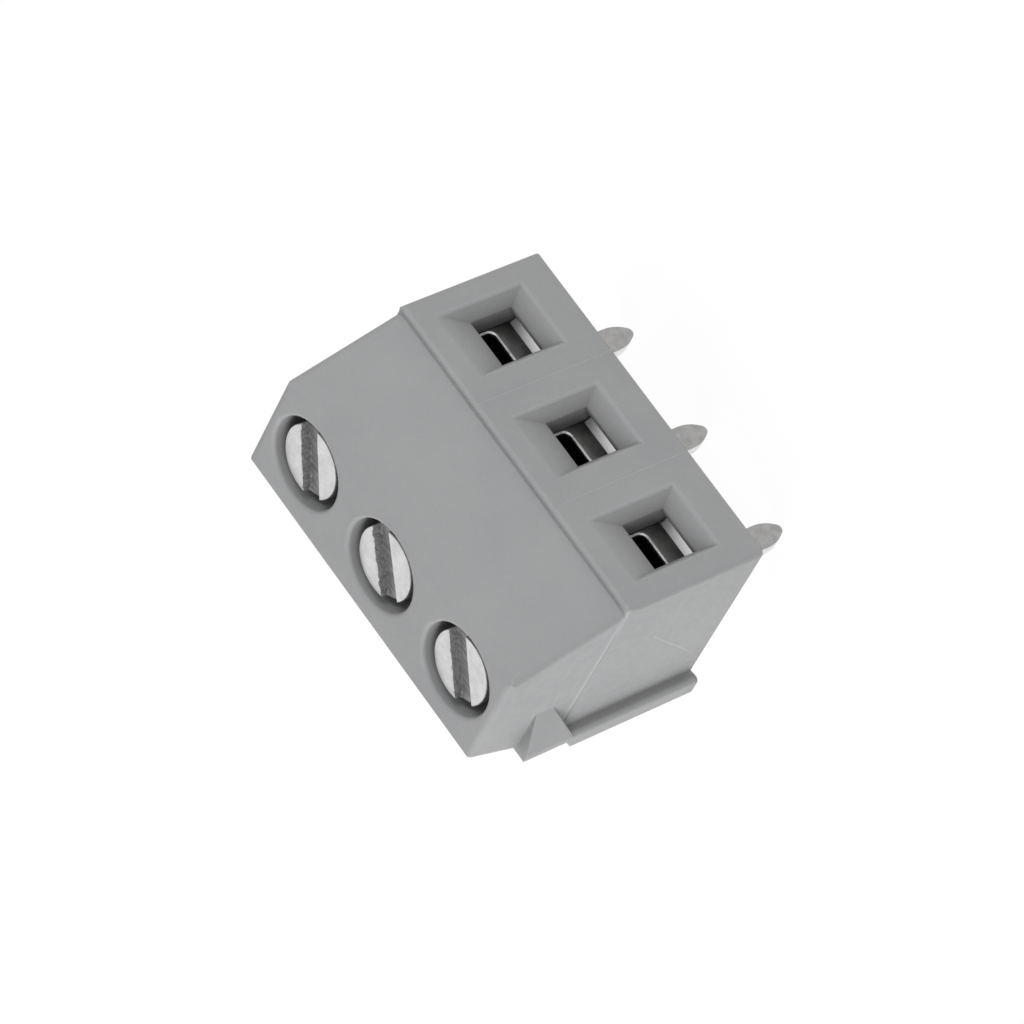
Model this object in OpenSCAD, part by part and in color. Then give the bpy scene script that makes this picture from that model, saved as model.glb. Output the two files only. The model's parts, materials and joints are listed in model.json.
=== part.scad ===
// Three-way screw terminal for a printed circuit board.
// The wire entries face -Y, the screws face +Z and the board seat is z = 0.
// The row of solder pins stands on the X axis, with its middle at the origin.

/* [Row] */
// Distance between neighbouring poles
pitch = 5.08; // [5.00:0.04:6.20]

/* [Housing] */
// Height of the housing above the board
housing_h = 11.44; // [11.2:0.1:13]
// Depth of the housing at the board
housing_d = 9.08; // [8.9:0.1:11]
// Height of the proud wire entry face
entry_h = 6.84; // [6.4:0.1:7.6]
// Depth of the ledge behind the entry face's top edge
ledge_d = 0.38; // [0.2:0.02:0.6]
// Fall of the ledge towards the sloped face
ledge_drop = 0.10; // [0.04:0.02:0.2]
// Distance from the entry face back to the screw face
screw_face_y = 2.41; // [1.6:0.05:2.6]
// Distance from the entry face back to the screw face's rear edge
screw_face_rear_y = 7.41; // [7:0.05:7.9]
// Distance from the entry face back to the upper rear wall
rear_upper_y = 8.40; // [8.2:0.05:8.7]
// Height at which the rear slant meets the upper rear wall
rear_slant_z = 8.75; // [8:0.1:9.6]
// Height of the top of the lower rear wall
rear_lower_z = 6.10; // [5:0.1:6.6]
// Rise of the bevel between the two rear walls
rear_bevel_h = 0.50; // [0.3:0.05:0.9]
// Edge radius between the slope and the screw face
brow_r = 0.45; // [0.2:0.05:0.7]
// Edge radius of the entry face's top edge
lip_r = 0.16; // [0.08:0.02:0.22]
// Edge radius of the rear edges
hem_r = 0.14; // [0.06:0.02:0.24]
// Edge radius of the board side
seat_r = 0.04; // [0.02:0.01:0.12]
// Edge radius around both end faces
end_r = 0.30; // [0.1:0.02:0.36]
// Height at which the end faces step in
end_step_z = 6.76; // [6:0.05:6.9]
// Depth of the step in each end face
end_step_d = 0.06; // [0.03:0.01:0.15]
// Height of the bevel on that step
end_step_h = 0.62; // [0.2:0.05:0.9]

/* [Coupling rib] */
// How far the rib stands out of its end face
rib_out = 0.57; // [0.4:0.03:0.75]
// Distance from the entry face back to the root of the rib's front face
rib_y = 8.13; // [8:0.01:8.2]
// How far the rib's front face leans forward at its tip
rib_lean = 0.09; // [0.04:0.01:0.15]
// Edge radius of the rib's tip
rib_r = 0.20; // [0.1:0.02:0.24]
// Length of the lead-in ramp in front of the rib's upper part
ramp_l = 2.20; // [1:0.1:2.6]
// Height of the ramp's lower edge at the rib
ramp_low_z = 6.35; // [6:0.05:6.6]
// Height of the ramp's lower edge at its front end
ramp_front_z = 7.90; // [7.2:0.1:8.4]
// Thickness of the rib's upper part at its tip
rib_tip_t = 0.30; // [0.2:0.05:0.4]
// Clearance around the rib in the neighbouring block's slot
rib_gap = 0.06; // [0.03:0.01:0.12]

/* [Screw wells] */
// Distance from the entry face back to the screw axes
screw_y = 4.69; // [4.5:0.05:5]
// Radius of a screw well
well_r = 1.92; // [1.85:0.01:2.02]
// Edge radius of the well's mouth
well_edge_r = 0.15; // [0.08:0.01:0.18]

/* [Wire entries] */
// Half the width of a funnel at the entry face
funnel_half_w = 1.49; // [1.35:0.01:1.7]
// Height of a funnel's lower edge at the entry face
funnel_low_z = 1.54; // [1.2:0.02:1.8]
// Height of a funnel's upper edge at the entry face
funnel_high_z = 5.72; // [5.2:0.02:6]
// Depth of a funnel
funnel_d = 0.75; // [0.5:0.05:0.85]
// Broken edge around the funnel's mouth
funnel_edge = 0.06; // [0.04:0.01:0.1]
// Half the width of the throat behind a funnel
throat_half_w = 1.08; // [1.02:0.01:1.2]
// Height of the throat's sill
throat_low_z = 2.04; // [1.9:0.02:2.2]
// Height of the throat's ceiling
throat_high_z = 4.08; // [3.7:0.02:4.4]
// Thickness of the front wall below the throat
sill_t = 0.92; // [0.88:0.02:1.1]

/* [Clamp frame] */
// Distance from the entry face back to the clamp frame
clamp_y = 1.95; // [1.9:0.05:2.2]
// Length of the clamp frame along the wire
clamp_l = 5.20; // [4.8:0.05:5.4]
// Half the width of the clamp frame's window
window_half_w = 1.00; // [0.85:0.01:1.05]
// Height of the window's floor
window_low_z = 2.53; // [2.4:0.01:2.6]
// Height of the window's ceiling
window_high_z = 5.05; // [4.8:0.05:5.3]
// Thickness of the frame's side walls
clamp_side_t = 0.50; // [0.4:0.02:0.55]
// Thickness of the frame's floor
clamp_floor_t = 0.88; // [0.7:0.02:1]
// Thickness of the frame's threaded top
clamp_top_t = 1.60; // [1.2:0.05:1.7]
// Corner radius of the window
window_r = 0.32; // [0.2:0.02:0.45]
// Corner radius of the frame's outside
clamp_r = 0.62; // [0.5:0.02:0.7]
// Broken edge around the window's front
window_edge = 0.06; // [0.04:0.01:0.12]
// Clearance around the frame in its chamber
chamber_gap = 0.08; // [0.04:0.01:0.12]

/* [Contact] */
// How far the pin row stands behind the screw axes
pin_back = 0.21; // [0.1:0.01:0.4]
// Thickness of the contact's strip
strip_t = 0.50; // [0.4:0.02:0.6]
// Half the width of the strip under the clamp frame
strip_half_w = 1.50; // [1.3:0.02:1.54]
// Distance from the entry face to the tip of the strip's nose
nose_y = 1.50; // [1.4:0.02:1.6]
// Angle of the strip's bent-down nose
nose_angle = 38; // [20:1:45]
// Gap at each side of the nose in the throat
nose_gap = 0.05; // [0.02:0.01:0.12]
// Inner radius of the strip's bend into the pin
bend_r = 0.30; // [0.2:0.02:0.5]
// Height of the shoulders above the pin
shoulder_z = 0.34; // [0.2:0.02:0.5]

/* [Solder pin] */
// Width of a solder pin
pin_w = 1.10; // [0.8:0.02:1.3]
// Length of a solder pin below the board seat
pin_l = 5.05; // [3.2:0.05:5.6]
// Radius of the bowed flanks of the pin's tip
pin_bow_r = 1.60; // [1.2:0.05:2.2]
// Radius of the pin's tip
pin_tip_r = 0.25; // [0.16:0.01:0.35]

/* [Clamping screw] */
// Radius of a screw head
head_r = 1.54; // [1.45:0.01:1.6]
// Height of a screw head
head_h = 1.80; // [1.4:0.05:1.9]
// How far the head stands below the screw face
head_recess = 0.27; // [0.1:0.01:0.5]
// Broken edge of the head
head_edge = 0.05; // [0.03:0.01:0.1]
// Width of the slot
slot_w = 0.96; // [0.6:0.02:1.1]
// Depth of the slot
slot_d = 0.40; // [0.3:0.05:0.9]
// Direction of each slot at rest
slot_angles = [126, 129, 121]; // [0:1:180]
// Radius of the thread, at its crests
thread_r = 1.25; // [1.2:0.01:1.28]
// Running clearance of the thread
thread_gap = 0.03; // [0.02:0.01:0.08]
// Travel of the screw and its plate from open to closed
screw_travel = 1.80; // [1.2:0.1:1.8]
// Radius of the tip stud that holds the pressure plate
stud_r = 0.60; // [0.5:0.01:0.7]

/* [Pressure plate] */
// Half the width of the pressure plate
plate_half_w = 0.90; // [0.7:0.01:0.95]
// Length of the pressure plate
plate_l = 4.00; // [3.6:0.05:4.1]
// Thickness of the pressure plate
plate_t = 0.50; // [0.4:0.02:0.6]
// Height of the gap above the plate with the screw backed out
plate_gap = 0.05; // [0.03:0.01:0.1]
// Running clearance of the stud in the plate
stud_gap = 0.03; // [0.02:0.01:0.08]

/* [Hidden] */
poles = 3;
$fn = 64;
// small overlap between joined shapes, run-out of a cut past a face, and a length beyond everything
eps = 0.02;
over = 1;
far = 20;
end_x = poles * pitch / 2;

// distances from the entry face back to the pin row and to the rear face of the pins
pin_row_y = screw_y + pin_back;
strip_end_y = pin_row_y + strip_t / 2;

// heights of the stacked metal parts
clamp_low_z = window_low_z - clamp_floor_t;
clamp_high_z = window_high_z + clamp_top_t;
clamp_half_w = window_half_w + clamp_side_t;
strip_high_z = clamp_low_z;
strip_low_z = strip_high_z - strip_t;
plate_high_z = window_high_z - plate_gap;
bore_low_z = plate_high_z - screw_travel - thread_gap;
head_high_z = housing_h - head_recess;
head_low_z = head_high_z - head_h;
chamber_high_z = clamp_high_z + chamber_gap;
chamber_half_w = max(clamp_half_w, strip_half_w) + chamber_gap;
chamber_y = clamp_y - chamber_gap;
chamber_rear_y = clamp_y + clamp_l + chamber_gap;

// side view of the lower body, anticlockwise, with an edge radius for each corner
lower_top_z = rear_lower_z + rear_bevel_h;
lower_side = [
    [0, 0],
    [housing_d, 0],
    [housing_d, rear_lower_z],
    [rear_upper_y, lower_top_z],
    [screw_face_y, lower_top_z],
    [ledge_d, entry_h - ledge_drop],
    [0, entry_h]
];
lower_side_r = [seat_r, seat_r, hem_r, 0, 0, 0, lip_r];

// side view of the upper body, whose foot is sunk into the lower body
upper_end_x = end_x - end_step_d;
slope_angle = atan2(housing_h - entry_h + ledge_drop, screw_face_y - ledge_d);
foot_sink = 0.4;
foot_z = lower_top_z - foot_sink;
foot_y = ledge_d + (foot_z - entry_h + ledge_drop) / tan(slope_angle);
slant_angle = atan2(housing_h - rear_slant_z, rear_upper_y - screw_face_rear_y);
upper_side = [
    [foot_y, foot_z],
    [rear_upper_y, foot_z],
    [rear_upper_y, rear_slant_z],
    [screw_face_rear_y, housing_h],
    [screw_face_y, housing_h]
];
upper_side_r = [0, 0, 0, hem_r, brow_r];

// how deep the rib is rooted in the end face
rib_root = 0.2;

function pole_x(i) = (i - (poles + 1) / 2) * pitch;
function unit(v) = v / norm(v);
function corner(i, n) = (i + n) % n;
// tangent length of an edge radius at corner b between a and c
function tangent(a, b, c, r) =
    let (half = acos(unit(a - b) * unit(c - b)) / 2)
    r / tan(half);
function arc_centre(a, b, c, r) =
    let (u = unit(a - b), v = unit(c - b), half = acos(u * v) / 2)
    b + unit(u + v) * r / sin(half);

// A polygon whose convex corners carry true arcs
module rounded_outline(pts, radii) {
    n = len(pts);
    cut = [for (i = [0 : n - 1])
        let (a = pts[corner(i - 1, n)], b = pts[i], c = pts[corner(i + 1, n)], r = radii[i])
        each r > 0
            ? [b + unit(a - b) * tangent(a, b, c, r), b + unit(c - b) * tangent(a, b, c, r)]
            : [b]];
    polygon(cut);
    for (i = [0 : n - 1])
        if (radii[i] > 0)
            translate(arc_centre(pts[corner(i - 1, n)], pts[i], pts[corner(i + 1, n)], radii[i]))
                circle(radii[i]);
}

// Extrudes a side view (y, z) along X, centred on X
module along_x(length) {
    rotate([90, 0, 90])
        linear_extrude(height = length, center = true)
            children();
}

// A rectangle with true corner arcs, from its low corner
module soft_rectangle(w, h, r) {
    translate([r, 0]) square([w - 2 * r, h]);
    translate([0, r]) square([w, h - 2 * r]);
    for (x = [r, w - r], y = [r, h - r])
        translate([x, y]) circle(r);
}

// Lower body: side view, front view and plan view crossed, so that all its outer edges are round
module lower_body() {
    intersection() {
        along_x(3 * end_x)
            rounded_outline(lower_side, lower_side_r);
        translate([0, far / 2, 0])
            rotate([90, 0, 0])
                linear_extrude(height = far)
                    rounded_outline([
                        [-end_x, 0],
                        [end_x, 0],
                        [end_x, end_step_z - end_step_h],
                        [upper_end_x, end_step_z],
                        [upper_end_x, far],
                        [-upper_end_x, far],
                        [-upper_end_x, end_step_z],
                        [-end_x, end_step_z - end_step_h]],
                        [seat_r, seat_r, 0, 0, 0, 0, 0, 0]);
        linear_extrude(height = far)
            rounded_outline([
                [-end_x, 0],
                [end_x, 0],
                [end_x, housing_d],
                [-end_x, housing_d]],
                [end_r, end_r, hem_r, hem_r]);
    }
}

// A bar along +Y with a flat foot and two rounded top edges, for rounding a sloped face's ends
module sloped_bar() {
    rotate([90, 0, 0])
        linear_extrude(height = 3 * far, center = true)
            rounded_outline([
                [-upper_end_x, -far],
                [upper_end_x, -far],
                [upper_end_x, 0],
                [-upper_end_x, 0]],
                [0, 0, end_r, end_r]);
}

// Upper body with the sloped front, the screw face and the slanted rear
module upper_body() {
    intersection() {
        along_x(3 * end_x)
            rounded_outline(upper_side, upper_side_r);
        translate([0, 0, housing_h])
            sloped_bar();
        translate([0, screw_face_y, housing_h])
            rotate([slope_angle, 0, 0])
                sloped_bar();
        translate([0, screw_face_rear_y, housing_h])
            rotate([-slant_angle, 0, 0])
                sloped_bar();
    }
}

// Cut that narrows along +Y: [half width, low z, high z] at y = 0 and at the given depth,
// run out in front of y = 0
module narrowing(mouth, throat, depth) {
    front = 0.3;
    grow = (mouth - throat) * front / depth;
    outer = mouth + grow;
    intersection() {
        along_x(pitch)
            polygon([
                [-front, outer[1]],
                [depth, throat[1]],
                [depth, throat[2]],
                [-front, outer[2]]]);
        linear_extrude(height = far)
            polygon([
                [-outer[0], -front],
                [outer[0], -front],
                [throat[0], depth],
                [-throat[0], depth]]);
    }
}

// Wire funnel, throat and front pocket of one pole
module wire_entry() {
    mouth = [funnel_half_w, funnel_low_z, funnel_high_z];
    throat = [throat_half_w, throat_low_z, throat_high_z];
    edge = [funnel_edge, -funnel_edge, funnel_edge];
    narrowing(mouth, throat, funnel_d);
    narrowing(mouth + edge, mouth + (throat - mouth) * funnel_edge / funnel_d, funnel_edge);
    translate([-throat_half_w, funnel_d - eps, throat_low_z])
        cube([2 * throat_half_w, chamber_y - funnel_d + 2 * eps, throat_high_z - throat_low_z]);
    translate([-throat_half_w, sill_t, -over])
        cube([2 * throat_half_w, chamber_y - sill_t + eps, throat_high_z + over]);
}

// Chamber of one pole, open towards the board
module chamber() {
    translate([-chamber_half_w, chamber_y, -over])
        cube([2 * chamber_half_w, chamber_rear_y - chamber_y, chamber_high_z + over]);
}

// Round well above one chamber, with a rounded mouth edge
module well() {
    mouth_r = well_r + well_edge_r;
    translate([0, screw_y, chamber_high_z - over / 2])
        cylinder(r = well_r, h = far);
    translate([0, screw_y, housing_h - well_edge_r])
        rotate_extrude()
            difference() {
                square([mouth_r, well_edge_r + over]);
                translate([mouth_r, 0]) circle(well_edge_r);
            }
}

// Lower part of the rib, whose leaning front face holds the neighbouring block
module rib_foot(gap, run_out) {
    tip_x = rib_out + gap;
    intersection() {
        translate([(tip_x - rib_root) / 2, 0, 0])
            along_x(tip_x + rib_root)
                polygon([
                    [rear_upper_y - far, -run_out],
                    [housing_d + run_out, -run_out],
                    [housing_d + run_out, rear_lower_z + gap],
                    [rear_upper_y, lower_top_z + gap],
                    [rear_upper_y - far, lower_top_z + gap]]);
        translate([0, 0, -run_out])
            linear_extrude(height = far)
                rounded_outline([
                    [-rib_root, rib_y - gap],
                    [0, rib_y - gap],
                    [tip_x, rib_y - gap - rib_lean],
                    [tip_x, housing_d + run_out],
                    [-rib_root, housing_d + run_out]],
                    [0, 0, rib_r, run_out > 0 ? 0 : rib_r, 0]);
    }
}

// Upper part of the rib with its lead-in ramp, whose lower edge rises towards the front
module rib_ramp(gap, run_out) {
    tip_x = rib_out + gap;
    ramp_end_y = rear_upper_y - rib_tip_t - gap;
    ramp_start_y = ramp_end_y - ramp_l;
    high_z = rear_slant_z + gap;
    intersection() {
        translate([(tip_x - rib_root) / 2, 0, 0])
            along_x(tip_x + rib_root)
                polygon([
                    [ramp_start_y, ramp_front_z - gap],
                    [rib_y, ramp_low_z - gap],
                    [rear_upper_y + run_out, ramp_low_z - gap],
                    [rear_upper_y + run_out, high_z],
                    [ramp_start_y, high_z]]);
        linear_extrude(height = far)
            polygon([
                [-rib_root, ramp_start_y],
                [0, ramp_start_y],
                [tip_x, ramp_end_y],
                [tip_x, rear_upper_y + run_out],
                [-rib_root, rear_upper_y + run_out]]);
    }
}

// The rib, drawn standing out towards +X from x = 0; as a slot it is grown by the gap
// and runs out at the rear and the board
module rib(gap = 0, run_out = 0) {
    rib_foot(gap, run_out);
    rib_ramp(gap, run_out);
}

module housing() {
    color([0.62, 0.63, 0.64])
    translate([0, -pin_row_y, 0])
    difference() {
        union() {
            lower_body();
            upper_body();
            mirror([1, 0, 0])
                translate([upper_end_x, 0, 0])
                    rib();
        }
        for (i = [1 : poles])
            translate([pole_x(i), 0, 0]) {
                wire_entry();
                chamber();
                well();
            }
        translate([end_x - rib_out - rib_gap, 0, 0])
            rib(rib_gap, over);
    }
}

// Rectangular clamp frame around the wire, with a threaded top
module clamp_frame(i) {
    color([0.80, 0.80, 0.78])
    translate([pole_x(i), -pin_row_y, 0])
    difference() {
        translate([-clamp_half_w, clamp_y + clamp_l, clamp_low_z])
            rotate([90, 0, 0])
                linear_extrude(height = clamp_l)
                    soft_rectangle(2 * clamp_half_w, clamp_high_z - clamp_low_z, clamp_r);
        translate([-window_half_w, clamp_y + clamp_l + over, window_low_z])
            rotate([90, 0, 0])
                linear_extrude(height = clamp_l + 2 * over)
                    soft_rectangle(2 * window_half_w, window_high_z - window_low_z, window_r);
        window_edge_cut();
        // the bore runs on into the side walls as far as the thread's end travels
        translate([0, screw_y, bore_low_z])
            cylinder(r = thread_r + thread_gap, h = clamp_high_z - bore_low_z + over);
    }
}

// Broken edge along the floor, the sides and the lower corners of the window's front
module window_edge_cut() {
    w = window_half_w;
    r = window_r;
    e = window_edge;
    along_x(2 * (w - r))
        polygon([
            [clamp_y - e, window_low_z - 2 * e],
            [clamp_y + e, window_low_z],
            [clamp_y + e, window_low_z + e],
            [clamp_y - e, window_low_z + e]]);
    for (side = [0, 1])
        mirror([side, 0, 0]) {
            translate([0, 0, window_low_z + r])
                linear_extrude(height = window_high_z - window_low_z - 2 * r)
                    polygon([
                        [w + 2 * e, clamp_y - e],
                        [w, clamp_y + e],
                        [w - e, clamp_y + e],
                        [w - e, clamp_y - e]]);
            translate([w - r, clamp_y - e, window_low_z + r])
                rotate([-90, 0, 0])
                    cylinder(r1 = r + 2 * e, r2 = r, h = 2 * e);
        }
}

// Contact strip: bent-down nose, flat leg under the clamp frame, bend and solder pin
module contact(i) {
    nose_half_w = throat_half_w - nose_gap;
    shank_low_z = strip_low_z - bend_r;
    shank_y = strip_end_y - strip_t;
    color([0.84, 0.84, 0.82])
    translate([pole_x(i), -pin_row_y, 0])
    difference() {
        union() {
            translate([-strip_half_w, clamp_y, strip_low_z])
                cube([2 * strip_half_w, shank_y - bend_r - clamp_y, strip_t]);
            translate([-nose_half_w, nose_y, strip_low_z])
                cube([2 * nose_half_w, clamp_y - nose_y + over, strip_t]);
            translate([0, shank_y - bend_r, shank_low_z])
                along_x(2 * strip_half_w)
                    quarter_ring(bend_r, strip_t);
            translate([-strip_half_w, shank_y, shoulder_z])
                cube([2 * strip_half_w, strip_t, shank_low_z - shoulder_z]);
            solder_pin(shank_low_z);
        }
        // sloped upper face of the nose
        translate([-far / 2, clamp_y, strip_high_z])
            rotate([nose_angle, 0, 0])
                translate([0, -2 * over, 0])
                    cube([far, 2 * over, 2 * over]);
    }
}

// First quadrant of a ring
module quarter_ring(inner_r, wall_t) {
    intersection() {
        difference() {
            circle(inner_r + wall_t);
            circle(inner_r);
        }
        square(far);
    }
}

// Flat pin with a bullet-shaped tip, from the bend down through the board
module solder_pin(root_z) {
    bow_x = pin_bow_r - pin_w / 2;
    centre_gap = pin_bow_r - pin_tip_r;
    tip_fall = sqrt(centre_gap * centre_gap - bow_x * bow_x);
    bow_z = tip_fall + pin_tip_r - pin_l;
    // how far below its start the bow meets the tip's arc
    bow_l = tip_fall * pin_bow_r / centre_gap;
    translate([0, strip_end_y, 0])
        rotate([90, 0, 0])
            linear_extrude(height = strip_t) {
                translate([-pin_w / 2, bow_z])
                    square([pin_w, root_z - bow_z]);
                translate([0, bow_z - tip_fall])
                    circle(pin_tip_r);
                intersection() {
                    translate([bow_x, bow_z]) circle(pin_bow_r);
                    translate([-bow_x, bow_z]) circle(pin_bow_r);
                    translate([-pin_w / 2, bow_z - bow_l]) square([pin_w, bow_l + eps]);
                }
            }
}

// Cheese-head screw with a slot, a plain-crested thread and a tip stud
module clamping_screw(i) {
    color([0.82, 0.83, 0.82])
    translate([pole_x(i), screw_y - pin_row_y, 0])
    difference() {
        union() {
            translate([0, 0, head_low_z])
                cylinder(r = head_r, h = head_h - head_edge);
            translate([0, 0, head_high_z - head_edge])
                cylinder(r1 = head_r, r2 = head_r - head_edge, h = head_edge);
            translate([0, 0, plate_high_z])
                cylinder(r = thread_r, h = head_low_z - plate_high_z + eps);
            translate([0, 0, plate_high_z - plate_t])
                cylinder(r = stud_r, h = plate_t + eps);
        }
        rotate([0, 0, slot_angles[i - 1]])
            translate([-far / 2, -slot_w / 2, head_high_z - slot_d])
                cube([far, slot_w, slot_d + over]);
    }
}

// Plate under the screw's tip that presses the wire down without turning
module pressure_plate(i) {
    color([0.78, 0.78, 0.76])
    translate([pole_x(i), screw_y - pin_row_y, plate_high_z - plate_t])
    difference() {
        translate([-plate_half_w, -plate_l / 2, 0])
            cube([2 * plate_half_w, plate_l, plate_t]);
        translate([0, 0, -over])
            cylinder(r = stud_r + stud_gap, h = plate_t + 2 * over);
    }
}

housing();
clamp_frame(1);  // clamp_frame_1
clamp_frame(2);  // clamp_frame_2
clamp_frame(3);  // clamp_frame_3
contact(1);  // contact_1
contact(2);  // contact_2
contact(3);  // contact_3
clamping_screw(1);  // clamping_screw_1
clamping_screw(2);  // clamping_screw_2
clamping_screw(3);  // clamping_screw_3
pressure_plate(1);  // pressure_plate_1
pressure_plate(2);  // pressure_plate_2
pressure_plate(3);  // pressure_plate_3
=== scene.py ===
import json
import math

import bmesh
import bpy
from mathutils import Matrix, Vector, noise

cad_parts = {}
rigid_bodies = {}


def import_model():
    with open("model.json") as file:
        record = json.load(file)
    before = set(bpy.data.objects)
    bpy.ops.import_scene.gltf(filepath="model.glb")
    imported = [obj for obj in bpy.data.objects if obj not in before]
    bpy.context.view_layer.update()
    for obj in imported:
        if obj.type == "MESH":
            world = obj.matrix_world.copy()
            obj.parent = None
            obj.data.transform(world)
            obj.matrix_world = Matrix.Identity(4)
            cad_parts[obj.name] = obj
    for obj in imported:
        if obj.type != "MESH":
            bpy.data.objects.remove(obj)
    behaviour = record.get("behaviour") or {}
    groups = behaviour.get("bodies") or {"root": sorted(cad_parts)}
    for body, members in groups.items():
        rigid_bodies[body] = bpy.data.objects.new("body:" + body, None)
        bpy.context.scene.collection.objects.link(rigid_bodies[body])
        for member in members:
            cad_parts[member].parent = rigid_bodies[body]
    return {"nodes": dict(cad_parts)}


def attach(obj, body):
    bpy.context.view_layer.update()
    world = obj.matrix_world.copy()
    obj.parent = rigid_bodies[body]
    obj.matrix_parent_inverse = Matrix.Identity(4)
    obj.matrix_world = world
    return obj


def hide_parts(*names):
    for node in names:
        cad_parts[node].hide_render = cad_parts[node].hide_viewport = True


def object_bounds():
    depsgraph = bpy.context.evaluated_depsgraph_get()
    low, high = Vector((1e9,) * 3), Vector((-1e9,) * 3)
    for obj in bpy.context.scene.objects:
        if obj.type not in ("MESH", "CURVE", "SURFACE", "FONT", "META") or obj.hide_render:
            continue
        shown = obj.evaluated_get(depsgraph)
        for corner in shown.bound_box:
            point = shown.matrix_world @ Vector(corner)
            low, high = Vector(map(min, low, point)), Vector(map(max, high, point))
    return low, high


MM = 0.001
POLES = (1, 2, 3)
POLE_PITCH = 5.08

for leftover in list(bpy.data.objects):
    bpy.data.objects.remove(leftover)

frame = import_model()
CAD_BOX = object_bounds()
NODES = frame["nodes"]

# camera: angles in degrees, places in the part's frame, lens and sensor in millimetres
CAMERA_AZIMUTH = -23.3926
CAMERA_ELEVATION = 34.2136
CAMERA_ROLL = 112.842
CAMERA_DISTANCE = 242.907 * MM
CAMERA_TARGET = Vector((0.2425, 0.4492, 4.4338)) * MM
CAMERA_LENS = 222.925
SENSOR = 36.0

# light: diffuse level of the sky, and lamps as (azimuth, elevation, distance, size, level), in
# degrees and metres, where a level of 1 lights a white surface that faces the lamp to about white
SKY_LEVEL = 0.22
LAMPS = {
    "side": (-141.0, 17.0, 0.30, 0.28, 1.02),
    "top": (87.7, 67.6, 0.35, 0.20, 0.27),
    "front": (27.1, 6.9, 0.35, 0.20, 0.47),
    "corner": (-50.0, 35.0, 0.35, 0.30, 0.55),
}

# floor: its size in metres, and grey levels of what the camera sees of it and of the light that
# it throws back on the part
FLOOR_SIZE = 3.0
FLOOR_LIT = 0.07
FLOOR_GLOW = 0.945
FLOOR_BOUNCE = 0.62

# looks: where a noise's values mostly lie, the share of painted pale highlight on edges, and shares of
# painted shade in depth
NOISE_RANGE = (0.3, 0.7)
EDGE_HIGHLIGHT_SHARE = 0.32
ENTRY_DARKENING = 0.66
WINDOW_DARKENING = 0.93

# places and sizes of the part, in its own frame and in millimetres
POLE_X = {pole: (pole - 2) * POLE_PITCH for pole in POLES}
END_FACE_X = -7.56
END_RIDGE_Z = 6.70
ENTRY_FACE_Y = -4.90
ENTRY_MIDDLE_Z = 3.2
WELL_RIM_Z = 10.9
FRAME_FRONT_Y = -2.84
PIN_TOP_Z = 1.0

# the worn screw: stud, thread, head, and the slot with its torn edge and burr
SCREW_Y = -0.21
STUD_TIP_RADIUS = 0.45
STUD_RADIUS = 0.60
STUD_EDGE = 0.04
STUD_LOW = 4.50
THREAD_LOW = 5.00
THREAD_RADIUS = 1.25
THREAD_DEPTH = 0.22
THREAD_PITCH = 0.45
THREAD_ROWS = 84
LEAD_IN_DEPTH = 0.18
LEAD_IN_LENGTH = 0.3
SCREW_COLUMNS = 120
HEAD_RADIUS = 1.54
HEAD_LOW = 9.37
HEAD_HIGH = 11.17
HEAD_EDGE = 0.05
SLOT_WIDTH = 0.96
SLOT_DEPTH = 0.40
SLOT_OVERRUN = 0.12
SLOT_CLEAR = 0.3
SLOT_STATIONS = 110
BURR_REACH = 1.40
BURR_FADE = 0.2
BURR_STATIONS = 150
SLOT_ANGLE = {1: 126.0, 2: 129.0, 3: 121.0}
SLOT_WEAR = {1: 0.020, 2: 0.035, 3: 0.045}


def aim(azimuth, elevation, roll=0.0):
    """Axes and direction of a camera or lamp that looks from the azimuth and the elevation."""
    az = math.radians(azimuth)
    el = math.radians(elevation)
    forward = Vector((-math.sin(az) * math.cos(el), math.cos(az) * math.cos(el), -math.sin(el)))
    right = forward.cross(Vector((0, 0, 1))).normalized()
    up = right.cross(forward)
    turn = math.radians(roll)
    rolled_up = up * math.cos(turn) + right * math.sin(turn)
    rolled_right = right * math.cos(turn) - up * math.sin(turn)
    matrix = Matrix((rolled_right, rolled_up, -forward)).transposed()
    return matrix, forward


def add_object(name, data):
    """New object in the scene with that data."""
    thing = bpy.data.objects.new(name, data)
    bpy.context.scene.collection.objects.link(thing)
    return thing


def add_camera():
    """The photograph's camera."""
    matrix, forward = aim(CAMERA_AZIMUTH, CAMERA_ELEVATION, CAMERA_ROLL)
    data = bpy.data.cameras.new("camera")
    data.lens = CAMERA_LENS
    data.sensor_width = SENSOR
    data.clip_start = 0.01
    data.clip_end = 5.0
    camera = add_object("camera", data)
    eye = CAMERA_TARGET - forward * CAMERA_DISTANCE
    camera.matrix_world = Matrix.Translation(eye) @ matrix.to_4x4()
    bpy.context.scene.camera = camera


def add_lamp(name, azimuth, elevation, distance, size, level):
    """A square soft lamp that shines on the part from that side and shows in no reflection."""
    matrix, forward = aim(azimuth, elevation)
    data = bpy.data.lights.new(name, "AREA")
    data.size = size
    data.energy = level * (math.pi * distance) ** 2
    lamp = add_object(name, data)
    lamp.visible_glossy = False
    lamp.matrix_world = Matrix.Translation(-forward * distance) @ matrix.to_4x4()


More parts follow.
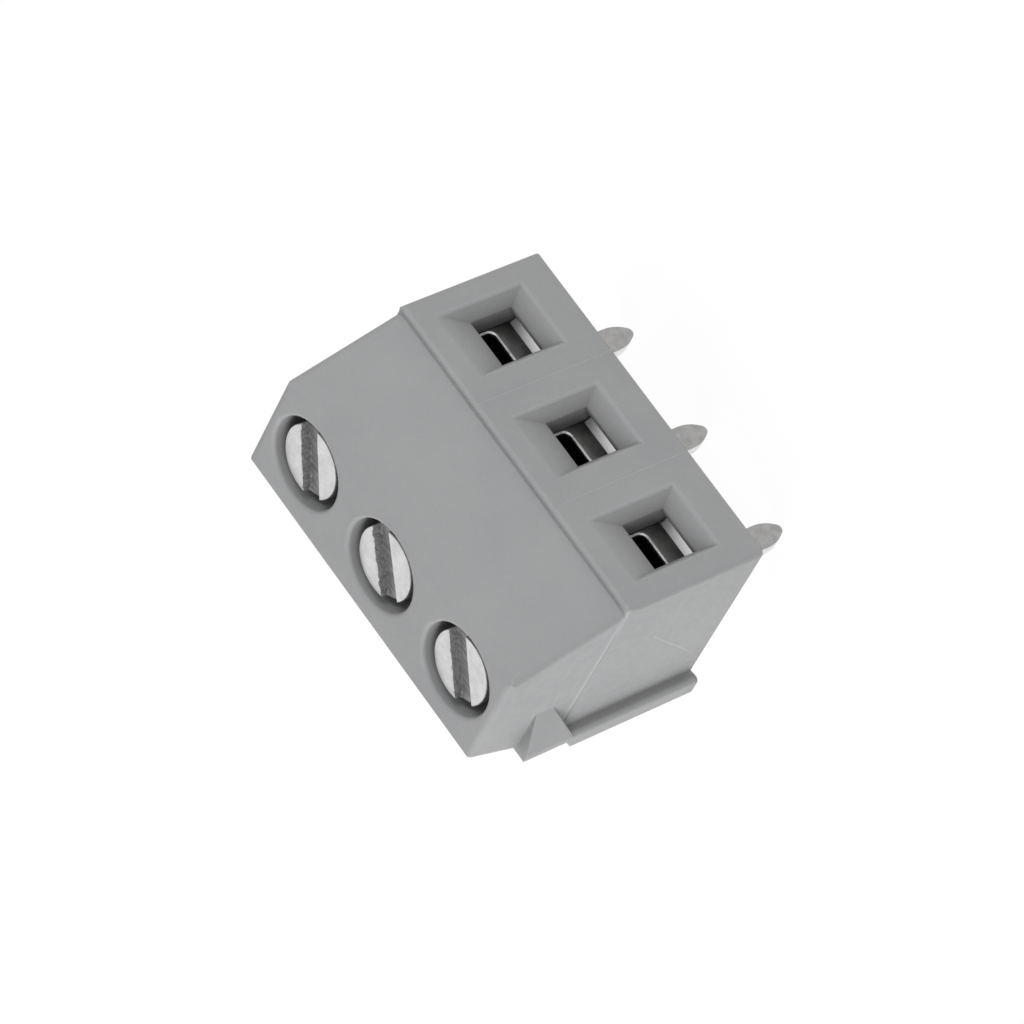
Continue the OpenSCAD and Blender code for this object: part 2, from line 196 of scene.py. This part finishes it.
class Tree:
    """Short calls for building one node tree."""

    def __init__(self, tree):
        self.tree = tree
        self.tree.nodes.clear()

    def add(self, kind, settings=None, inputs=None):
        node = self.tree.nodes.new("ShaderNode" + kind)
        for key, value in (settings or {}).items():
            setattr(node, key, value)
        for key, value in (inputs or {}).items():
            if isinstance(value, bpy.types.NodeSocket):
                self.tree.links.new(value, node.inputs[key])
            else:
                node.inputs[key].default_value = value
        return node

    def math(self, operation, a, b=0.0):
        return self.add("Math", {"operation": operation}, {0: a, 1: b}).outputs[0]

    def noise(self, where, scale, detail=4.0, roughness=0.55):
        node = self.add("TexNoise", None, {
            "Vector": where, "Scale": scale, "Detail": detail, "Roughness": roughness})
        return node.outputs["Fac"]

    def span(self, value, low, high, out_low=0.0, out_high=1.0):
        """Smooth step of value from low to high, mapped to out_low to out_high."""
        return self.add("MapRange", {"interpolation_type": "SMOOTHSTEP"}, {
            "Value": value, "From Min": low, "From Max": high,
            "To Min": out_low, "To Max": out_high}).outputs["Result"]

    def level(self, value, out_low=0.0, out_high=1.0):
        """A noise value's usual range, mapped to out_low to out_high."""
        return self.span(value, *NOISE_RANGE, out_low, out_high)

    def mix(self, factor, a, b):
        """Colour a where factor is 0 and b where it is 1."""
        node = self.add("Mix", {"data_type": "RGBA"}, {0: factor})
        for index, value in ((6, a), (7, b)):
            if isinstance(value, bpy.types.NodeSocket):
                self.tree.links.new(value, node.inputs[index])
            else:
                node.inputs[index].default_value = value
        return node.outputs[2]

    def split(self, vector):
        """The x, y and z of a vector."""
        node = self.add("SeparateXYZ", None, {0: vector})
        return node.outputs[0], node.outputs[1], node.outputs[2]

    def stretch(self, where, scale, turn=(0.0, 0.0, 0.0)):
        """Place to read a noise at, so that its grain is finer along the axes of larger scale."""
        node = self.add("Mapping", None, {"Vector": where, "Rotation": turn, "Scale": scale})
        return node.outputs[0]

    def band(self, value, middle, half, soft):
        """1 within half of the middle, falling to 0 over the soft distance."""
        away = self.math("ABSOLUTE", self.math("SUBTRACT", value, middle))
        return self.span(away, half, half + soft, 1.0, 0.0)

    def product(self, *values):
        result = values[0]
        for value in values[1:]:
            result = self.math("MULTIPLY", result, value)
        return result

    def openness(self, distance):
        """1 in the open, falling to 0 where walls stand all round within that many millimetres."""
        return self.add("AmbientOcclusion", {"samples": 4}, {"Distance": distance * MM}).outputs["AO"]

    def segment(self, u, v, start, end, half):
        """1 on the thin line from start to end in the plane of u and v, faded at its ends."""
        along = (end[0] - start[0], end[1] - start[1])
        length = math.hypot(*along)
        du = self.math("SUBTRACT", u, start[0])
        dv = self.math("SUBTRACT", v, start[1])
        cos, sin = along[0] / length, along[1] / length
        run = self.math("ADD", self.product(du, cos), self.product(dv, sin))
        off = self.math("SUBTRACT", self.product(du, sin), self.product(dv, cos))
        return self.product(
            self.band(run, length / 2, length / 2, 0.3), self.band(off, 0.0, half, half))

    def bump(self, height, distance, strength=1.0, normal=None):
        """Normal of a surface raised by height times the distance in millimetres."""
        inputs = {"Height": height, "Distance": distance * MM, "Strength": strength}
        if normal is not None:
            inputs["Normal"] = normal
        return self.add("Bump", None, inputs).outputs["Normal"]


def grey(level, warmth=0.0):
    """Linear colour of a grey with a slight shift towards red, or towards blue if negative."""
    return (level * (1 + warmth), level, level * (1 - 2 * warmth), 1.0)


# colours: darker and lighter tones, a pale tone for what rubbing lays bare and for painted highlights,
# and the tone where no light gets in
PLASTIC_DARK = grey(0.304, -0.008)
PLASTIC_LIGHT = grey(0.332, -0.006)
# pale tone for real rubbing and for the painted ridge and edge highlights
PLASTIC_RUBBED_AND_HIGHLIGHT = grey(0.56, -0.008)
PLASTIC_SHADE = grey(0.040, -0.010)
FRAME_DARK = grey(0.36, 0.01)
FRAME_LIGHT = grey(0.46, 0.01)
FRAME_SHADE = grey(0.015)
# painted highlight colour for the frame's front edge
FRAME_EDGE_HIGHLIGHT = grey(0.98)
CONTACT_DARK = grey(0.97)
CONTACT_LIGHT = grey(0.99)
# painted light and shade on the pins: darker tones for their flats, lighter for their sides
PIN_SHADED_FLAT_DARK = grey(0.32, 0.01)
PIN_SHADED_FLAT_LIGHT = grey(0.40, 0.01)
PIN_LIT_SIDE_DARK = grey(0.66)
PIN_LIT_SIDE_LIGHT = grey(0.84)
SCREW_DARK = grey(0.60)
SCREW_LIGHT = grey(0.71)
# slot tones: darker than the head as painted shade, streaked by milling
SLOT_DARK = grey(0.27)
SLOT_LIGHT = grey(0.40)
SCREW_SHADE = grey(0.04)


def new_material(name):
    """A material, its emptied node tree, and the surface's place in millimetres."""
    material = bpy.data.materials.new(name)
    material.use_nodes = True
    tree = Tree(material.node_tree)
    place = tree.add("TexCoord").outputs["Object"]
    return material, tree, tree.stretch(place, (1 / MM, 1 / MM, 1 / MM))


def finish_material(tree, inputs):
    """Puts one shader with those inputs on the material's surface."""
    shader = tree.add("BsdfPrincipled", None, inputs)
    tree.add("OutputMaterial", None, {"Surface": shader.outputs[0]})


def plastic_marks(t, where):
    """Scuffs, a scratch, witness lines and a painted highlight along the end face's ridge: (all,
    scratch, witness) shares.
    """
    x, y, z = t.split(where)
    on_end = t.band(x, END_FACE_X - 0.03, 0.05, 0.05)
    on_entry = t.span(y, ENTRY_FACE_Y + 0.06, ENTRY_FACE_Y + 0.02)
    slanted = t.stretch(where, (1.0, 0.5, 7.0), (math.radians(38), 0, 0))
    streaks = t.span(t.noise(slanted, 1.0), 0.56, 0.70)
    worn = t.product(on_end, streaks, t.band(y, -0.7, 2.4, 1.2), t.band(z, 8.1, 0.9, 0.9))
    scratch = t.product(on_end, t.segment(y, z, (-1.5, 4.0), (1.1, 1.2), 0.025))
    between_poles = t.band(t.math("ABSOLUTE", x), POLE_PITCH / 2, 0.02, 0.03)
    witness = t.product(on_entry, between_poles)
    # painted highlight: a pale band along the ridge across the end face
    ridge_highlight = t.product(on_end, t.band(z, END_RIDGE_Z, 0.05, 0.14), t.span(y, 2.6, 1.4))
    light = t.product(worn, 0.18)
    for mark, strength in ((scratch, 0.24), (witness, 0.14), (ridge_highlight, 0.30)):
        light = t.math("MAXIMUM", light, t.product(mark, strength))
    return light, scratch, witness


def plastic_edge_highlight_mask(t, soft, clear):
    """1 on open, bent edges, where a pale highlight is painted on the moulding."""
    geometry = t.add("NewGeometry")
    turned = t.add("VectorMath", {"operation": "DOT_PRODUCT"}, {0: soft, 1: geometry.outputs["Normal"]})
    bent = t.span(turned.outputs["Value"], 0.998, 0.93)
    return t.product(bent, t.span(clear, 0.86, 0.98))


def plastic_shade(t, where, clear):
    """1 in the open, less in corners and wells and down the wire entries."""
    x, y, z = t.split(where)
    corners = t.span(clear, 0.04, 0.46)
    in_well = t.span(z, WELL_RIM_Z - 0.4, WELL_RIM_Z)
    shade = t.math("MAXIMUM", corners, t.product(in_well, t.span(clear, 0.0, 0.18, 0.45, 1.0)))
    between_ends = t.span(t.math("ABSOLUTE", x), 7.3, 7.2)
    at_entries = t.product(between_ends, t.band(z, ENTRY_MIDDLE_Z, 2.8, 0.1), t.span(y, 2.9, 2.6))
    depth = t.product(at_entries, t.span(y, ENTRY_FACE_Y + 0.05, ENTRY_FACE_Y + 1.7))
    return t.product(shade, t.math("SUBTRACT", 1.0, t.product(depth, ENTRY_DARKENING)))


def plastic_material():
    """Fine satin moulded polyamide, a little worn."""
    material, t, where = new_material("housing_plastic")
    grain = t.noise(where, 14.0, 3.0)
    tone = t.math("ADD", t.product(t.noise(where, 0.35, 3.0), 0.6), t.product(grain, 0.4))
    plain = t.mix(t.level(tone), PLASTIC_DARK, PLASTIC_LIGHT)

    light, scratch, witness = plastic_marks(t, where)
    clear = t.openness(1.0)
    soft = t.add("Bevel", {"samples": 4}, {"Radius": 0.14 * MM}).outputs[0]
    # painted highlight: pale colour on open, bent edges
    edge_highlight = t.product(plastic_edge_highlight_mask(t, soft, clear), EDGE_HIGHLIGHT_SHARE)
    marked = t.mix(edge_highlight, t.mix(light, plain, PLASTIC_RUBBED_AND_HIGHLIGHT), PLASTIC_RUBBED_AND_HIGHLIGHT)
    colour = t.mix(plastic_shade(t, where, clear), PLASTIC_SHADE, marked)

    rough = t.level(t.noise(where, 3.0, 3.0), 0.46, 0.58)
    fine = t.bump(grain, 0.004, 0.6, soft)
    raised = t.bump(witness, 0.012, 1.0, fine)
    cut = t.bump(t.math("MULTIPLY", scratch, -1.0), 0.01, 1.0, raised)
    normal = t.bump(t.noise(where, 0.8, 2.0), 0.03, 0.5, cut)
    finish_material(t, {
        "Base Color": colour, "Roughness": rough, "Normal": normal,
        "Specular IOR Level": 0.35})
    return material


def frame_material():
    """Dull plated steel, with painted shade in the clamp's window and a broken, painted highlight on the
    edge round its front.
    """
    material, t, where = new_material("frame_plate")
    y = t.split(where)[1]
    facing_y = t.split(t.add("TexCoord").outputs["Normal"])[1]
    mottle = t.noise(where, 2.5, 4.0, 0.6)
    plain = t.mix(t.level(mottle), FRAME_DARK, FRAME_LIGHT)
    shade = t.span(t.openness(1.2), 0.0, 0.8)
    # painted shade: the plate darkens behind its front, in the clamp's window
    inside = t.span(y, FRAME_FRONT_Y - 0.02, FRAME_FRONT_Y + 0.14)
    reach = t.product(shade, t.math("SUBTRACT", 1.0, t.product(inside, WINDOW_DARKENING)))
    # painted highlight: a near-white, broken band on the chamfer of the front edge
    broken = t.span(t.noise(where, 5.0, 2.0), 0.30, 0.45, 0.35, 1.0)
    at_front = t.span(y, FRAME_FRONT_Y + 0.04, FRAME_FRONT_Y)
    edge = t.product(t.band(facing_y, -0.70, 0.16, 0.08), at_front, broken)
    colour = t.mix(edge, t.mix(reach, FRAME_SHADE, plain), FRAME_EDGE_HIGHLIGHT)
    rough = t.level(t.noise(where, 6.0), 0.44, 0.56)
    normal = t.bump(t.noise(where, 3.0, 1.0), 0.001, 0.3)
    finish_material(t, {"Base Color": colour, "Metallic": 1.0, "Roughness": rough, "Normal": normal})
    return material


def contact_material():
    """Bright tin plate; on the pins, the flats are painted darker as shade and the narrow sides lighter
    as lit.
    """
    material, t, where = new_material("contact_plate")
    z = t.split(where)[2]
    facing_y = t.split(t.add("TexCoord").outputs["Normal"])[1]
    pin = t.span(z, PIN_TOP_Z, PIN_TOP_Z - 0.2)
    # painted light and shade: faces that look along y get the darker flat tone, the narrow sides the
    # lighter tone
    flat = t.span(t.math("ABSOLUTE", facing_y), 0.5, 0.8)
    mottle = t.level(t.noise(where, 3.0))
    strip = t.mix(mottle, CONTACT_DARK, CONTACT_LIGHT)
    shaded_flat = t.mix(mottle, PIN_SHADED_FLAT_DARK, PIN_SHADED_FLAT_LIGHT)
    edge = t.mix(mottle, PIN_LIT_SIDE_DARK, PIN_LIT_SIDE_LIGHT)
    colour = t.mix(pin, strip, t.mix(flat, edge, shaded_flat))
    rough = t.span(pin, 0.0, 1.0, 0.30, 0.28)
    grainy = t.product(pin, t.noise(t.stretch(where, (6.0, 6.0, 1.2)), 1.0))
    normal = t.bump(grainy, 0.004, 0.6)
    finish_material(t, {"Base Color": colour, "Metallic": 1.0, "Roughness": rough, "Normal": normal})
    return material


def screw_material(pole):
    """Pale zinc plate: mottled heads, and slots painted darker as shade, with milled streaks along them.
    """
    material, t, where = new_material("screw_plate_%d" % pole)
    z = t.split(where)[2]
    mottle = t.noise(where, 2.2, 5.0, 0.6)
    plain = t.mix(t.level(mottle), SCREW_DARK, SCREW_LIGHT)
    along_slot = (0, 0, math.radians(-SLOT_ANGLE[pole]))
    streaks = t.noise(t.stretch(where, (0.8, 9.0, 9.0), along_slot), 1.0)
    off_top = t.math("SUBTRACT", 1.0, t.band(z, HEAD_HIGH, 0.003, 0.004))
    sunk = t.product(off_top, t.span(z, HEAD_HIGH - 0.70, HEAD_HIGH - 0.60))
    # painted shade: the sunk slot gets darker tones, streaked along the milling
    milled_and_shaded = t.mix(t.span(streaks, 0.35, 0.65), SLOT_DARK, SLOT_LIGHT)
    shade = t.span(t.openness(0.8), 0.0, 0.25)
    colour = t.mix(shade, SCREW_SHADE, t.mix(sunk, plain, milled_and_shaded))
    rough = t.math("ADD", t.level(t.noise(where, 6.0), 0.32, 0.48), t.product(sunk, 0.25))
    height = t.math("ADD", t.product(t.noise(where, 7.0), 0.5), t.product(streaks, sunk))
    normal = t.bump(height, 0.006, 0.7)
    finish_material(t, {"Base Color": colour, "Metallic": 1.0, "Roughness": rough, "Normal": normal})
    return material


def ripple(place, seed, rate):
    """Smooth random value between about -1 and 1 at that place along an edge."""
    return noise.noise(Vector((place * rate, seed * 7.3, seed * 1.9)))


def thread_radius(height, turn):
    """Radius of the helical thread at that height and share of a turn, less at its start."""
    step = ((height - THREAD_LOW) / THREAD_PITCH - turn) % 1.0
    crest = 1.0 - abs(2.0 * step - 1.0)
    depth = THREAD_DEPTH * (1.0 - min(1.0, crest * 1.25))
    lead_in = LEAD_IN_DEPTH * max(0.0, 1.0 - (height - THREAD_LOW) / LEAD_IN_LENGTH)
    return THREAD_RADIUS - depth - lead_in


def screw_rows():
    """Rings of the screw from its stud to its head, as (height, radius or None for thread)."""
    rows = [
        (STUD_LOW, STUD_TIP_RADIUS), (STUD_LOW, STUD_RADIUS - STUD_EDGE),
        (STUD_LOW + STUD_EDGE, STUD_RADIUS), (THREAD_LOW, STUD_RADIUS)]
    for step in range(THREAD_ROWS + 1):
        rows.append((THREAD_LOW + (HEAD_LOW - THREAD_LOW) * step / THREAD_ROWS, None))
    rows.append((HEAD_LOW, HEAD_RADIUS - HEAD_EDGE))
    rows.append((HEAD_LOW + HEAD_EDGE, HEAD_RADIUS))
    side = HEAD_HIGH - HEAD_LOW - HEAD_EDGE - HEAD_EDGE
    for step in range(1, 4):
        rows.append((HEAD_LOW + HEAD_EDGE + side * step / 3, HEAD_RADIUS))
    for step in range(1, 4):
        bend = math.radians(30 * step)
        rows.append((
            HEAD_HIGH - HEAD_EDGE + HEAD_EDGE * math.sin(bend),
            HEAD_RADIUS - HEAD_EDGE + HEAD_EDGE * math.cos(bend)))
    for radius in (1.2, 0.9, 0.6, 0.3):
        rows.append((HEAD_HIGH, radius))
    return rows


def lathe(rows):
    """Closed mesh from rings round the z axis."""
    mesh = bmesh.new()
    rings = []
    for height, radius in rows:
        ring = []
        for column in range(SCREW_COLUMNS):
            turn = column / SCREW_COLUMNS
            out = thread_radius(height, turn) if radius is None else radius
            angle = 2 * math.pi * turn
            point = Vector((out * math.cos(angle), out * math.sin(angle), height))
            ring.append(mesh.verts.new(point * MM))
        rings.append(ring)
    for low, high in zip(rings, rings[1:]):
        for column in range(SCREW_COLUMNS):
            after = (column + 1) % SCREW_COLUMNS
            mesh.faces.new((low[column], low[after], high[after], high[column]))
    mesh.faces.new(tuple(reversed(rings[0])))
    mesh.faces.new(tuple(rings[-1]))
    return mesh


def slot_floor(along):
    """Depth of the slot's floor: it rises towards one rim."""
    rise = min(1.0, max(0.0, (along - 0.75) / 0.7))
    return SLOT_DEPTH * (1.0 - 0.25 * rise * rise)


def stations_along(reach, count):
    """Evenly spaced places along the slot, from one reach to the other."""
    return [-reach + 2 * reach * station / count for station in range(count + 1)]


def torn_edge(along, wear, seed):
    """Where the slot's torn left edge runs at that place, and the nick that is part of it."""
    torn = wear * (ripple(along, seed, 2.3) + 0.6 * ripple(along, seed + 3, 6.5))
    nick = wear * 0.5 * ripple(along, seed + 5, 11.0)
    return -SLOT_WIDTH / 2 + torn + nick, nick


def slot_sections(wear, seed):
    """Cross-sections of the worn slot as (along, list of (across, depth))."""
    sections = []
    half = SLOT_WIDTH / 2
    for along in stations_along(HEAD_RADIUS + SLOT_OVERRUN, SLOT_STATIONS):
        left, nick = torn_edge(along, wear, seed)
        right = half + 0.4 * wear * ripple(along, seed + 8, 3.0)
        floor = slot_floor(along) + 0.012 * ripple(along, seed + 11, 5.0)
        sections.append((along, [
            (left - 0.03 - 0.5 * abs(nick), -SLOT_CLEAR), (left - 0.02, 0.0), (left + 0.02, 0.06),
            (left * 0.6 - half * 0.4 + 0.03, floor * 0.85), (-half + 0.07, floor),
            (half - 0.05, floor + 0.01), (half - 0.02, floor * 0.8),
            (right, 0.04), (right + 0.02, -SLOT_CLEAR)]))
    return sections


def burr_sections(wear, seed):
    """Cross-sections of the thin torn lip along the slot's left edge, in the same form."""
    sections = []
    for along in stations_along(BURR_REACH, BURR_STATIONS):
        edge = torn_edge(along, wear, seed)[0] - 0.02
        height = max(0.0, ripple(along, seed + 14, 3.7) + 0.35) * wear * 0.5
        top = height * max(0.0, min(1.0, (BURR_REACH - abs(along)) / BURR_FADE))
        sections.append((along, [
            (edge - 0.07, 0.015), (edge - 0.03, -top * 0.7), (edge - 0.005, -top),
            (edge + 0.02, -top * 0.5), (edge + 0.02, 0.03)]))
    return sections


def prism(sections):
    """Closed mesh through cross-sections laid along x; depth counts down from the head's top."""
    mesh = bmesh.new()
    loops = []
    for along, points in sections:
        loops.append([
            mesh.verts.new(Vector((along, across, HEAD_HIGH - depth)) * MM) for across, depth in points])
    for one, two in zip(loops, loops[1:]):
        for index in range(len(one)):
            after = (index + 1) % len(one)
            mesh.faces.new((one[index], one[after], two[after], two[index]))
    mesh.faces.new(tuple(reversed(loops[0])))
    mesh.faces.new(tuple(loops[-1]))
    return mesh


def add_mesh(name, mesh):
    """New object from a mesh under construction, with its faces turned outwards."""
    bmesh.ops.recalc_face_normals(mesh, faces=mesh.faces)
    data = bpy.data.meshes.new(name)
    mesh.to_mesh(data)
    mesh.free()
    return add_object(name, data)


def cut_slot(screw, pole, turn):
    """Cuts the worn slot into the screw's head, in the slot's direction."""
    cutter = add_mesh("slot_cutter", prism(slot_sections(SLOT_WEAR[pole], pole)))
    cutter.data.transform(turn)
    cut = screw.modifiers.new("slot", "BOOLEAN")
    cut.operation = "DIFFERENCE"
    cut.solver = "EXACT"
    cut.object = cutter
    graph = bpy.context.evaluated_depsgraph_get()
    graph.update()
    made = bpy.data.meshes.new_from_object(screw.evaluated_get(graph))
    screw.modifiers.clear()
    plain = screw.data
    screw.data = made
    bpy.data.meshes.remove(plain)
    bpy.data.objects.remove(cutter)


def add_burr(screw, pole, turn):
    """Joins the torn lip to the screw's mesh, in the slot's direction."""
    burr = prism(burr_sections(SLOT_WEAR[pole], pole))
    bmesh.ops.recalc_face_normals(burr, faces=burr.faces)
    burr.transform(turn)
    burr.from_mesh(screw.data)
    burr.to_mesh(screw.data)
    burr.free()


def add_screw(pole, material):
    """Screw with a cut thread and a worn slot, in place of the plain CAD screw."""
    screw = add_mesh("worn_screw_%d" % pole, lathe(screw_rows()))
    turn = Matrix.Rotation(math.radians(SLOT_ANGLE[pole]), 4, "Z")
    cut_slot(screw, pole, turn)
    add_burr(screw, pole, turn)
    screw.data.transform(Matrix.Translation(Vector((POLE_X[pole], SCREW_Y, 0.0)) * MM))
    screw.data.set_sharp_from_angle(angle=math.radians(35))
    for face in screw.data.polygons:
        face.use_smooth = True
    screw.data.materials.clear()
    screw.data.materials.append(material)
    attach(screw, "screw_%d" % pole)
    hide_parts("clamping_screw_%d" % pole)


def dress(node, material):
    """Gives a CAD node that material on its whole surface."""
    NODES[node].data.materials.clear()
    NODES[node].data.materials.append(material)


def seen_directly(t):
    """1 for what the camera sees straight, mirrored or through glass, 0 for scattered light."""
    path = t.add("LightPath")
    shown = t.math("MAXIMUM", path.outputs["Is Camera Ray"], path.outputs["Is Glossy Ray"])
    return t.math("MAXIMUM", shown, path.outputs["Is Transmission Ray"])


def add_floor():
    """Pale floor that shows white to the camera and still takes a faint shadow."""
    low = CAD_BOX[0][2]
    bpy.ops.mesh.primitive_plane_add(size=FLOOR_SIZE, location=(0, 0, low))
    floor = bpy.context.object
    floor.name = "floor"
    material = bpy.data.materials.new("floor")
    material.use_nodes = True
    t = Tree(material.node_tree)
    lit = t.add("BsdfDiffuse", None, {"Color": grey(FLOOR_LIT)})
    glow = t.add("Emission", None, {"Color": grey(1.0), "Strength": FLOOR_GLOW})
    seen = t.add("AddShader", None, {0: lit.outputs[0], 1: glow.outputs[0]})
    bounce = t.add("BsdfDiffuse", None, {"Color": grey(FLOOR_BOUNCE)})
    both = t.add("MixShader", None, {0: seen_directly(t), 1: bounce.outputs[0], 2: seen.outputs[0]})
    t.add("OutputMaterial", None, {"Surface": both.outputs[0]})
    floor.data.materials.append(material)


def add_world():
    """White to the camera and in reflections, and a plain level of diffuse light."""
    world = bpy.data.worlds.new("world")
    world.use_nodes = True
    t = Tree(world.node_tree)
    white = t.add("Background", None, {"Color": grey(1.0), "Strength": 1.0})
    sky = t.add("Background", None, {"Color": grey(1.0), "Strength": SKY_LEVEL})
    both = t.add("MixShader", None, {0: seen_directly(t), 1: sky.outputs[0], 2: white.outputs[0]})
    t.add("OutputWorld", None, {"Surface": both.outputs[0]})
    bpy.context.scene.world = world


plastic = plastic_material()
frame_metal = frame_material()
contact_metal = contact_material()

dress("housing", plastic)
for pole in POLES:
    dress("clamp_frame_%d" % pole, frame_metal)
    dress("contact_%d" % pole, contact_metal)
    dress("pressure_plate_%d" % pole, frame_metal)
    screw_metal = screw_material(pole)
    dress("clamping_screw_%d" % pole, screw_metal)
    add_screw(pole, screw_metal)

add_floor()
add_world()
for name, settings in LAMPS.items():
    add_lamp(name, *settings)
add_camera()
bpy.context.scene.view_settings.view_transform = "Standard"
